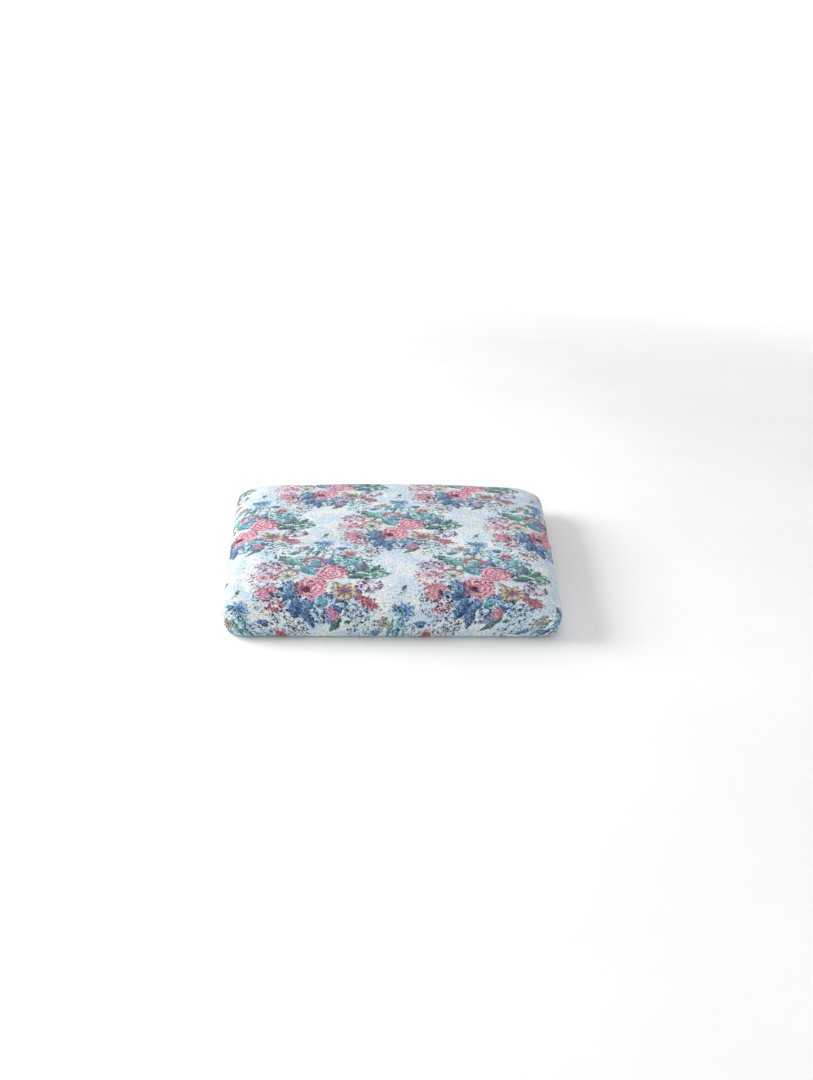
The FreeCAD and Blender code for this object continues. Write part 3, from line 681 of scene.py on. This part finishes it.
class Tapestry(Nodes):
    """The woven floral cloth, coloured stitch by stitch."""

    def stitches(self):
        """Place of each stitch's middle in cm, its own random numbers, and the place inside it."""
        x, y, _ = self.split(self.attribute("cloth_flat"))
        across = self.times(x, -100 / STITCH_ACROSS)
        along = self.times(y, -100 / STITCH_ALONG)
        row = self.floor(along)
        shift = self.times(self.math("FLOORED_MODULO", row, 2.0), 0.5)
        across = self.math("ADD", across, shift)
        column = self.floor(across)
        cell = self.join(column, row)
        random = self.white(cell)
        jitter = self.vector("SUBTRACT", random["Color"], (0.5, 0.5, 0.5))
        middle = self.vector("ADD", cell, self.join(self.minus(0.5, shift), 0.5))
        middle = self.vector("ADD", middle, self.scaled(jitter, 1.9))
        place = self.vector("MULTIPLY", middle, (STITCH_ACROSS, STITCH_ALONG, 0.0))
        inside = self.join(self.fraction(across), self.fraction(along))
        self.stitch_random = self.minus(random["Value"], 0.5)
        return place, random["Value"], inside

    def folded(self, place, middle):
        """The same place in the repeat nearest to a cluster of motifs round the first rose."""
        origin = (FIRST_ROSE[0] + middle[0], FIRST_ROSE[1] + middle[1], 0.0)
        across, along, _ = self.split(self.vector("SUBTRACT", place, origin))
        half = REPEAT_ALONG / 2
        row = self.floor(self.muladd(along, 1 / half, 0.5))
        along = self.minus(along, self.times(row, half))
        odd = self.math("FLOORED_MODULO", row, 2.0)
        across = self.muladd(odd, REPEAT_ACROSS / 2, across)
        across = self.math("WRAP", across, REPEAT_ACROSS / 2, -REPEAT_ACROSS / 2)
        return self.vector("ADD", self.join(across, along), (*middle, 0.0))

    def fields(self, place):
        """What all the motifs of a cluster share: wavering places and a mosaic of small petals."""
        waver = self.vector("SUBTRACT", self.noise(place, 1.9, 3.0, 1), (0.5, 0.5, 0.5))
        wavering = self.vector("ADD", place, self.scaled(waver, 0.55))
        self.place = self.split(wavering)[:2]
        petals = self.add("TexVoronoi", {"Vector": wavering, "Scale": 2.9}).outputs
        self.petal_place = self.split(petals["Position"])[:2]
        self.petal_distance = petals["Distance"]
        own = self.step(self.noise(petals["Position"], 9.0, 0.0), 0.3, 0.7)
        dashes = self.noise(self.vector("MULTIPLY", wavering, (0.45, 1.6, 1.0)), 4.6, 2.0)
        own = self.math("ADD", own, self.step(dashes, 0.3, 0.7, -0.45, 0.45))
        self.petal_random = self.muladd(self.stitch_random, 0.5, own)

    def located(self, place, motif):
        """Coordinates in which a motif fills a circle of radius 1.

        Worked out in plain numbers: each vector node would keep its result until the last motif is
        drawn, and a shader can hold only so many."""
        across, along, half_width, half_height, *turn = motif
        angle = math.radians(sum(turn))
        c, s = math.cos(angle), math.sin(angle)
        local = []
        for a, b, size in ((c, s, half_width), (-s, c, half_height)):
            offset = self.muladd(place[0], a / size, -(across * a + along * b) / size)
            local.append(self.muladd(place[1], b / size, offset))
        return local

    def length(self, x, y):
        square = self.muladd(y, y, self.times(x, x))
        return self.math("SQRT", square)

    def polar(self, motif):
        x, y = self.located(self.place, motif)
        return x, y, self.length(x, y), self.math("ARCTAN2", y, x)

    def wave(self, angle, count):
        return self.math("SINE", self.times(angle, count))

    def bloom(self, motif, light, middle, dark):
        """Petals wound round one another, in shade on one side."""
        x, y, radius, angle = self.polar(motif)
        swirl = self.muladd(angle, 1 / math.pi, self.times(radius, 3.3))
        swirl = self.muladd(self.wave(angle, 5.0), 0.16, swirl)
        band = self.fraction(self.muladd(self.petal_random, 0.35, swirl))
        stops = [(0.0, dark), (0.12, dark), (0.22, middle)]
        stops += [(0.4, light), (0.64, light), (0.86, middle)]
        color = self.ramp(band, stops)
        slope = self.muladd(y, 0.2, self.times(x, 0.8))
        color = self.mix(self.step(slope, -0.3, -0.7, 0.0, 0.7), color, dark)
        edge = self.muladd(self.wave(angle, 7.0), 0.06, 0.93)
        return color, self.less(radius, edge)

    def rose(self, motif, light, middle, dark):
        """A bloom that shows its dark heart."""
        color, mask = self.bloom(motif, light, middle, dark)
        x, y = self.located(self.place, motif)
        near_heart = self.length(self.math("ADD", x, 0.27), self.math("ADD", y, 0.22))
        return self.mix(self.step(near_heart, 0.40, 0.16), color, linear(84, 22, 44)), mask

    def daisy(self, motif, light, middle, dark):
        """Eight petals with dark rims round a violet eye."""
        _, _, radius, angle = self.polar(motif)
        lobe = self.math("ABSOLUTE", self.wave(angle, 4.0))
        color = self.ramp(lobe, [(0.1, dark), (0.38, middle), (0.7, light)])
        color = self.mix(self.step(radius, 0.7, 0.3, 0.0, 0.7), color, middle)
        color = self.mix(self.less(radius, 0.22), color, linear(92, 92, 150))
        edge = self.muladd(lobe, 0.42, 0.58)
        rim = self.minus(edge, radius)
        rim = self.muladd(self.petal_random, 0.12, rim)
        color = self.mix(self.step(rim, 0.34, 0.14, 0.0, 0.9), color, middle)
        return color, self.less(radius, edge)

    def carnation(self, motif, light, middle, dark):
        """A ragged flower of narrow petals that fan out from its middle."""
        _, _, radius, angle = self.polar(motif)
        rays = self.muladd(angle, 1.4, self.times(radius, 2.4))
        rays = self.fraction(self.muladd(self.petal_random, 1.1, rays))
        stops = [(0.0, dark), (0.22, middle), (0.5, light), (0.8, middle), (1.0, dark)]
        color = self.ramp(rays, stops)
        edge = self.muladd(self.petal_random, 0.3, 0.78)
        return color, self.less(radius, edge)

    def arch(self, motif, light, middle, dark):
        """A striped band bent over in a half circle."""
        _, y, radius, angle = self.polar(motif)
        stripes = self.fraction(self.muladd(angle, 2.3, self.petal_random))
        color = self.ramp(stripes, [(0.0, dark), (0.3, middle), (0.7, light), (1.0, middle)])
        off_band = self.math("ABSOLUTE", self.minus(radius, 0.76))
        band = self.less(off_band, 0.17)
        return color, self.times(band, self.math("GREATER_THAN", y, -0.12))

    def leaf(self, motif, light, middle, dark):
        """A pointed leaf with slanting veins, darker along one side."""
        x, y = self.located(self.place, motif)
        side = self.math("ABSOLUTE", y)
        rib = self.muladd(side, -1.4, self.times(x, 2.6))
        rib = self.fraction(self.muladd(self.petal_random, 0.7, rib))
        color = self.ramp(rib, [(0.0, dark), (0.3, middle), (0.62, light), (1.0, middle)])
        color = self.mix(self.step(y, 0.15, -0.25, 0.0, 0.55), color, dark)
        width = self.minus(1.0, self.times(x, x))
        return color, self.less(side, width)

    def spray(self, motif, light, middle, dark, petal_size=0.44):
        """Small loose petals, each in one of the three tones, inside an oval."""
        near = self.length(*self.located(self.petal_place, motif))
        stops = [(0.0, dark), (0.36, middle), (0.72, light)]
        color = self.ramp(self.petal_random, stops, "CONSTANT")
        color = self.mix(self.step(self.petal_distance, 0.16, 0.06, 0.0, 0.8), color, dark)
        petal = self.less(self.petal_distance, petal_size)
        return color, self.times(petal, self.less(near, 1.0))

    def blossoms(self, motif, light, middle, dark):
        """A spray so dense that its petals touch."""
        return self.spray(motif, light, middle, dark, 0.62)

    def ground(self, place):
        """Icy blue cloth with cream patches and a stipple of grey-blue stitches."""
        icy, cream = linear(202, 221, 234), linear(226, 232, 232)
        color = self.mix(self.step(self.noise(place, 0.32, 1.0), 0.42, 0.62), icy, cream)
        patch = self.step(self.noise(place, 0.5, 2.0), 0.35, 0.62)
        fleck = self.step(self.noise(place, 5.2, 1.0), 0.60, 0.70)
        color = self.mix(self.times(fleck, patch), color, linear(104, 132, 158))
        elsewhere = self.vector("ADD", place, (31.0, 7.0, 0.0))
        blush = self.step(self.noise(elsewhere, 3.1, 1.0), 0.66, 0.74, 0.0, 0.6)
        return self.mix(blush, color, linear(176, 170, 196))

    def build(self):
        place, random, inside = self.stitches()
        color = self.ground(place)
        for motifs, middle in ((SPRIGS, SPRIGS_MIDDLE), (BOUQUET, BOUQUET_MIDDLE)):
            self.fields(self.folded(place, middle))
            for kind, palette, *motif in motifs:
                tones = [linear(*part) for part in PALETTES[palette]]
                drawn, mask = getattr(self, kind)(motif, *tones)
                color = self.mix(mask, color, drawn)
        pale = self.times(self.math("GREATER_THAN", random, 0.97), 0.55)
        color = self.mix(pale, color, linear(224, 226, 222))
        color = self.mix(self.less(random, 0.05), color, linear(120, 136, 162))
        thread = self.muladd(random, 0.42, 0.70)
        across, along, _ = self.split(inside)
        ridge = self.math("SINE", self.times(across, math.pi))
        cross = self.math("SINE", self.times(along, math.pi))
        relief = self.times(self.math("POWER", ridge, 0.6), self.math("POWER", cross, 0.45))
        # Painted shade: each stitch grows darker towards its edges, as if the grooves between
        # stitches lay in shade.
        groove_shade = self.step(relief, 0.0, 0.6, 0.78, 1.0)
        worn = self.step(self.noise(self.attribute("cloth_flat"), 9.0, 3.0), 0.35, 0.7, 0.95, 1.03)
        # tone is the random thread tone times the painted groove shade times the random wear.
        tone = self.times(self.times(thread, groove_shade), worn)
        color = self.toned(color, tone)
        fibre = self.noise(self.attribute("cloth_flat"), 2600.0, 2.0)
        height = self.muladd(fibre, 0.35, relief)
        roughness = self.step(relief, 0.0, 1.0, 0.95, 0.78)
        return self.finish(color, height, 0.0002, roughness, Sheen_Weight=0.07, Sheen_Roughness=0.5,
                           Specular_IOR_Level=0.15)


# ---- the other materials ----


def woven(name, pitch, warp, weft, gap, relief, source="cloth_flat", turned_round=False, slub=0.25):
    """Plain-weave cloth: uneven threads a pitch apart, which go over and under each other."""
    n = Nodes(name)
    place = n.object_place() if source == "object" else n.attribute(source)
    x, y, _ = n.split(place)
    if turned_round:
        x, y = y, x
    drift = n.step(n.noise(place, 60.0, 2.0), 0.3, 0.7, -0.25, 0.25)
    u = n.muladd(x, 1 / pitch, drift)
    v = n.muladd(y, 1 / pitch, drift)
    column, row = n.floor(u), n.floor(v)
    over = n.math("FLOORED_MODULO", n.math("ADD", column, row), 2.0)
    ridge_u = n.math("SINE", n.times(n.fraction(u), math.pi))
    ridge_v = n.math("SINE", n.times(n.fraction(v), math.pi))
    warp_height = n.times(ridge_u, n.muladd(ridge_v, 0.4, 0.6))
    weft_height = n.times(ridge_v, n.muladd(ridge_u, 0.4, 0.6))
    warp_height = n.times(warp_height, n.muladd(over, 0.5, 0.5))
    weft_height = n.times(weft_height, n.muladd(over, -0.5, 1.0))
    upper = n.math("GREATER_THAN", warp_height, weft_height)
    height = n.math("MAXIMUM", warp_height, weft_height)
    warp_tone = n.muladd(n.white(n.join(column, 0.0, 3.0))[0], slub, 1 - slub / 2)
    weft_tone = n.muladd(n.white(n.join(0.0, row, 7.0))[0], slub, 1 - slub / 2)
    warp_color = n.toned(linear(*warp), warp_tone)
    weft_color = n.toned(linear(*weft), weft_tone)
    color = n.mix(upper, weft_color, warp_color)
    shade = linear(*(c * 0.35 for c in warp))
    color = n.mix(n.step(height, gap, gap + 0.25, 0.8, 0.0), color, shade)
    stain = n.step(n.noise(place, 25.0, 4.0), 0.35, 0.7, 0.86, 1.06)
    color = n.toned(color, stain)
    fibre = n.noise(place, 3000.0, 2.0)
    bump = n.muladd(fibre, 0.3, height)
    return n.finish(color, bump, relief, n.step(height, 0.0, 1.0, 0.98, 0.82), Sheen_Weight=0.12)


def webbing_cloth(name, lengthwise):
    """Jute webbing: a dense weave of thick, uneven yarns."""
    warp, weft = (176, 142, 96), (158, 122, 78)
    return woven(name, 0.0022, warp, weft, 0.18, 0.0006, "object", lengthwise, 0.35)


def timber(name, lengthwise, pale, brown, streak):
    """Planed wood: long fine streaks along the grain, growth rings, pores and a dusty surface."""
    n = Nodes(name)
    place = n.object_place()
    stretch = (1.0, 0.06, 1.0) if lengthwise else (0.06, 1.0, 1.0)
    grain = n.vector("MULTIPLY", place, stretch)
    bend = n.noise(grain, 22.0, 2.0)
    rings = n.fraction(n.times(bend, 7.0))
    rings = n.times(rings, n.minus(2.0, rings))
    streaks = n.noise(grain, 900.0, 3.0)
    pores = n.step(n.noise(grain, 2600.0, 1.0), 0.60, 0.70)
    color = n.ramp(rings, [(0.0, linear(*brown)), (0.35, linear(*pale)), (1.0, linear(*pale))])
    color = n.mix(n.step(streaks, 0.35, 0.65, 0.0, 0.55), color, linear(*streak))
    color = n.mix(n.times(pores, 0.5), color, linear(*(c * 0.5 for c in brown)))
    height = n.minus(n.times(streaks, 0.6), pores)
    roughness = n.step(streaks, 0.3, 0.7, 0.5, 0.68)
    return n.finish(color, height, 0.00012, roughness, Specular_IOR_Level=0.35)


def steel(name, bright, dark, roughness):
    """Wire or tack steel with fine scratches, dull patches and specks of rust."""
    n = Nodes(name)
    place = n.object_place()
    patches = n.noise(place, 400.0, 3.0)
    scratch = n.noise(n.vector("MULTIPLY", place, (1.0, 9.0, 1.0)), 900.0, 2.0)
    color = n.mix(n.step(patches, 0.35, 0.65), linear(*dark), linear(*bright))
    rust = n.step(n.noise(place, 180.0, 3.0), 0.66, 0.76, 0.0, 0.5)
    color = n.mix(rust, color, linear(96, 62, 42))
    rough = n.muladd(scratch, 0.25, roughness)
    return n.finish(color, scratch, 0.00004, rough, Metallic=0.95)


def fibres(name, pale, dark, fleck, scale, relief, curl):
    """A mat of loose fibres: curling strands over one another, with flecks caught in them."""
    n = Nodes(name)
    place = n.attribute("cloth_flat")
    waver = n.vector("SUBTRACT", n.noise(place, scale * 0.25, 3.0, 1), (0.5, 0.5, 0.5))
    bent = n.vector("ADD", place, n.scaled(waver, curl / scale))
    first = n.noise(n.vector("MULTIPLY", bent, (1.0, 0.12, 1.0)), scale, 3.0)
    second = n.noise(n.vector("MULTIPLY", bent, (0.12, 1.0, 1.0)), scale, 3.0)
    strands = n.math("MAXIMUM", first, second)
    color = n.mix(n.step(strands, 0.42, 0.66), linear(*dark), linear(*pale))
    specks = n.step(n.noise(place, scale * 0.6, 1.0), 0.70, 0.76, 0.0, 0.7)
    color = n.mix(specks, color, linear(*fleck))
    tufts = n.noise(place, scale * 0.06, 3.0)
    color = n.toned(color, n.step(tufts, 0.3, 0.7, 0.82, 1.05))
    height = n.muladd(tufts, 1.5, strands)
    return n.finish(color, height, relief, n.step(strands, 0.3, 0.7, 1.0, 0.85), Sheen_Weight=0.15)


# ---- stage, light and camera ----


def floor_material():
    """Pale matt paper with the faintest mottling, which glows more and more from 0.8 m out: painted
    light that keeps the far floor and its wall white.
    """
    n = Nodes("pale_floor")
    place = n.object_place()
    # Painted light: the floor glows, from nothing near the seat up to its full strength 3.6 m away.
    glow = n.step(n.vector("LENGTH", place), 0.8, 3.6, 0.0, 0.6)
    n.put(n.shader.inputs["Emission Strength"], glow)
    n.shader.inputs["Emission Color"].default_value = linear(250, 250, 250)
    mottle = n.noise(place, 3.0, 3.0)
    color = n.mix(n.step(mottle, 0.3, 0.7), linear(238, 238, 237), linear(243, 243, 241))
    return n.finish(color, n.noise(place, 400.0, 2.0), 0.00005, 0.7)


def make_floor():
    """A pale floor that curves up into a wall far away on every side, so that no horizon shows."""
    spokes = 96
    flat_radius, bend, wall = 7.0, 2.5, 4.0
    path = [(0.0, 0.0), (1.0, 0.0), (3.0, 0.0), (flat_radius, 0.0)]
    for step in range(1, 11):
        angle = math.radians(9 * step)
        path.append((flat_radius + bend * math.sin(angle), bend * (1 - math.cos(angle))))
    path.append((flat_radius + bend, bend + wall))
    verts, faces = [], []
    for radius, height in path:
        for k in range(spokes):
            turn = 2 * math.pi * k / spokes
            verts.append((radius * math.cos(turn), radius * math.sin(turn), height))
    for first in range(0, len(verts) - spokes, spokes):
        outer = first + spokes
        faces += ring_faces(range(first, outer), range(outer, outer + spokes))
    floor = new_mesh("floor", verts, faces)
    floor.location.z = -0.0002
    floor.data.materials.append(floor_material())


def area_light(name, place, target, size, watts, color):
    lamp = bpy.data.lights.new(name, "AREA")
    lamp.shape = "RECTANGLE"
    lamp.size, lamp.size_y = size
    lamp.energy = watts
    lamp.color = color
    holder = bpy.data.objects.new(name, lamp)
    holder.location = place
    aim = Vector(target) - Vector(place)
    holder.rotation_euler = aim.to_track_quat("-Z", "Y").to_euler()
    bpy.context.scene.collection.objects.link(holder)


def make_lights():
    """A large soft key from the +X side, a weak fill from behind the camera, and a pale room."""
    middle = (0, 0, 0.04)
    area_light("key", (1.9, -0.4, 1.0), middle, (1.3, 1.0), 60, (1.0, 0.985, 0.96))
    area_light("top", (0.2, -0.3, 2.2), middle, (1.6, 1.6), 10, (1.0, 1.0, 1.0))
    area_light("fill", (-0.4, 2.2, 1.3), middle, (1.4, 1.0), 6, (0.95, 0.97, 1.0))
    world = bpy.data.worlds.new("room")
    world.use_nodes = True
    background = world.node_tree.nodes["Background"]
    background.inputs["Color"].default_value = (0.92, 0.95, 1.0, 1.0)
    background.inputs["Strength"].default_value = 0.25
    bpy.context.scene.world = world
    bpy.context.scene.view_settings.view_transform = "Standard"


CAMERA_PLACE = (0.0166, 1.0516, 0.5055)
CAMERA_DOWN = 23.99  # degrees below level
CAMERA_YAW = 1.98  # degrees to the pad's -X side of straight ahead
CAMERA_ROLL = 1.15
FOCAL_IN_FRAME_HEIGHTS = 881.3 / 1080


def make_camera():
    down, yaw, roll = (math.radians(a) for a in (CAMERA_DOWN, CAMERA_YAW, CAMERA_ROLL))
    level = math.cos(down)
    forward = Vector((-math.sin(yaw) * level, -math.cos(yaw) * level, -math.sin(down)))
    level_right = Vector((-math.cos(yaw), math.sin(yaw), 0))
    level_up = level_right.cross(forward)
    right = math.cos(roll) * level_right + math.sin(roll) * level_up
    up = -math.sin(roll) * level_right + math.cos(roll) * level_up
    data = bpy.data.cameras.new("camera")
    data.sensor_width = 36
    data.lens = data.sensor_width * FOCAL_IN_FRAME_HEIGHTS
    camera = bpy.data.objects.new("camera", data)
    bpy.context.scene.collection.objects.link(camera)
    rows = zip(right, up, -forward, CAMERA_PLACE)
    camera.matrix_world = Matrix([*rows, (0, 0, 0, 1)])
    bpy.context.scene.camera = camera


# ---- the layers ----


def dressed(piece, node, material):
    """Put a new piece on the seat in place of its CAD node."""
    piece.data.materials.clear()
    piece.data.materials.append(material)
    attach(piece, "root")
    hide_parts(node)


def below(drop):
    """A layer's top, a set depth under the cover's."""
    return lambda x, y: crown(x, y) - drop


def level(height):
    return lambda x, y: height


def make_cover():
    path = side_path(EDGE_INSET, FOOT_SHARE) + hem_path(HEM_WIDTH)
    wrap = Wrap(0.0, EDGE_INSET, uninflated, path, HEM_HEIGHT)
    cover = wrap.piece("tapestry_cover_cloth")
    held = [n for ring in wrap.rings[-HELD_RINGS:] for n in ring]
    inflate(cover, held)
    modified(cover, "SUBSURF", levels=1, render_levels=1)
    tailored(cover)
    thickened(cover, CLOTH_THICKNESS)
    dressed(cover, "tapestry_cover", Tapestry("floral_tapestry").build())


def make_wadding():
    foot = 0.010
    path = side_path(EDGE_INSET, 0.0)
    outer = Wrap(0.0016, EDGE_INSET, below(0.0014), path, foot)
    inner = Wrap(0.0034, EDGE_INSET, below(0.0056), path, foot)
    wadding = shell("cotton_wadding_layer", outer, inner)
    tones = (240, 238, 230), (206, 202, 192), (176, 160, 130)
    material = fibres("soft_wadding", *tones, 900.0, 0.0006, 1.5)
    dressed(wadding, "cotton_wadding", material)


def make_calico():
    hem_width = 0.020
    path = side_path(EDGE_INSET, FOOT_SHARE) + hem_path(hem_width)
    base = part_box("calico_undercover")[0].z + 0.0004
    calico = Wrap(0.0042, EDGE_INSET, below(0.0066), path, base).piece("calico_undercover_cloth")
    thickened(calico, 0.0006)
    material = woven("unbleached_calico", 0.0006, (222, 208, 178), (214, 200, 170), 0.1, 0.00015)
    dressed(calico, "calico_undercover", material)


def make_felt():
    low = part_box("cotton_felt")[0].z
    outer = Wrap(0.0050, EDGE_INSET, below(0.0076), side_path(EDGE_INSET, 0.0), low)
    inner = Wrap(0.0200, EDGE_INSET, below(0.0138), side_path(EDGE_INSET, 0.0), low)
    felt = shell("cotton_felt_pad", outer, inner)
    tones = (214, 206, 186), (170, 158, 134), (90, 66, 44)
    material = fibres("matted_cotton", *tones, 700.0, 0.0010, 2.5)
    dressed(felt, "cotton_felt", material)


def make_hair():
    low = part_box("hair_stuffing")[0].z
    outer = Wrap(0.0215, EDGE_INSET, below(0.0146), side_path(EDGE_INSET, 0.0), low + 0.0004)
    inner = Wrap(0.0240, EDGE_INSET, level(low), [(0.010, 1.0), (0.0, 1.0)], low)
    hair = shell("hair_stuffing_pad", outer, inner)
    material = fibres("curled_hair", (92, 66, 46), (30, 21, 16), (150, 120, 84), 500.0, 0.0022, 6.0)
    dressed(hair, "hair_stuffing", material)


def make_hessian():
    low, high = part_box("hessian_sheet")
    thickness = 0.0005
    inset = COVER_HIGH.x - high.x
    path = fold_path(0.024, 0.015)
    wrap = Wrap(inset, 0.024, level(low.z + thickness / 2), path, high.z - thickness / 2)
    hessian = wrap.piece("hessian_platform")
    thickened(hessian, thickness)
    material = woven("open_hessian", 0.0020, (178, 146, 98), (166, 132, 86), 0.34, 0.0005, slub=0.4)
    dressed(hessian, "hessian_sheet", material)


def screw_hole_rods(low, high):
    """Upright rods where the seat's screws pass, to cut the holes in the dust cover."""
    sides = 24
    verts, faces = [], []
    for mount in frame["record"]["mounts"]:
        if mount["kind"] != "bolt_pattern":
            continue
        radius = mount["dims"]["hole_r_mm"] / 1000
        for side in (-1, 1):
            x = side * mount["dims"]["spacing_x_mm"] / 2000
            first = len(verts)
            for z in (low, high):
                for k in range(sides):
                    angle = 2 * math.pi * k / sides
                    y = mount["pos_m"][1] + radius * math.sin(angle)
                    verts.append((x + radius * math.cos(angle), y, z))
            for k in range(sides):
                m = (k + 1) % sides
                faces.append((first + k, first + m, first + sides + m, first + sides + k))
            faces.append(tuple(first + k for k in reversed(range(sides))))
            faces.append(tuple(first + sides + k for k in range(sides)))
    return new_mesh("screw_hole_rods", verts, faces)


def make_dust_cover():
    low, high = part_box("dust_cover")
    thickness = 0.0003
    path = fold_path(0.024, 0.011)
    inset = COVER_HIGH.x - high.x
    wrap = Wrap(inset, 0.024, level(low.z + 0.0003), path, high.z - 0.0002)
    dust = wrap.piece("dust_cover_cloth")
    thickened(dust, thickness)
    rods = screw_hole_rods(low.z - 0.001, high.z + 0.001)
    modified(dust, "BOOLEAN", operation="DIFFERENCE", solver="EXACT", object=rods)
    bpy.data.objects.remove(rods)
    black, worn = (40, 40, 42), (32, 32, 34)
    material = woven("black_bottoming", 0.0009, black, worn, 0.1, 0.00012, "object", slub=0.3)
    dressed(dust, "dust_cover", material)


def dress_cad_nodes():
    """Give the CAD pieces that stay their own finishes."""
    beech = ((206, 170, 122), (170, 128, 82), (184, 146, 100))
    across, along = timber("beech_across", False, *beech), timber("beech_along", True, *beech)
    birch = timber("birch_dowel", True, (222, 196, 152), (196, 164, 118), (206, 176, 130))
    tack = steel("blued_tack", (70, 76, 96), (30, 32, 42), 0.28)
    wire = steel("galvanised_wire", (196, 196, 194), (140, 142, 144), 0.25)
    finishes = [
        (across, ["front_rail", "rear_rail"]),
        (along, ["left_rail", "right_rail"]),
        (birch, ["corner_dowels"]),
        (tack, ["webbing_tacks", "hessian_tacks"]),
        (wire, ["calico_staples", "cover_staples", "dust_cover_staples"]),
    ]
    for run, lengthwise, places in (
        ("lengthwise", True, ("left", "middle", "right")),
        ("crosswise", False, ("front", "middle", "rear")),
    ):
        jute = webbing_cloth(f"jute_{run}", lengthwise)
        finishes.append((jute, [f"webbing_{run}_{place}" for place in places]))
    for material, nodes in finishes:
        for node in nodes:
            for holder in bpy.data.objects[node].material_slots:
                holder.material = material


make_camera()
make_floor()
make_lights()
make_cover()
make_wadding()
make_calico()
make_felt()
make_hair()
make_hessian()
make_dust_cover()
dress_cad_nodes()
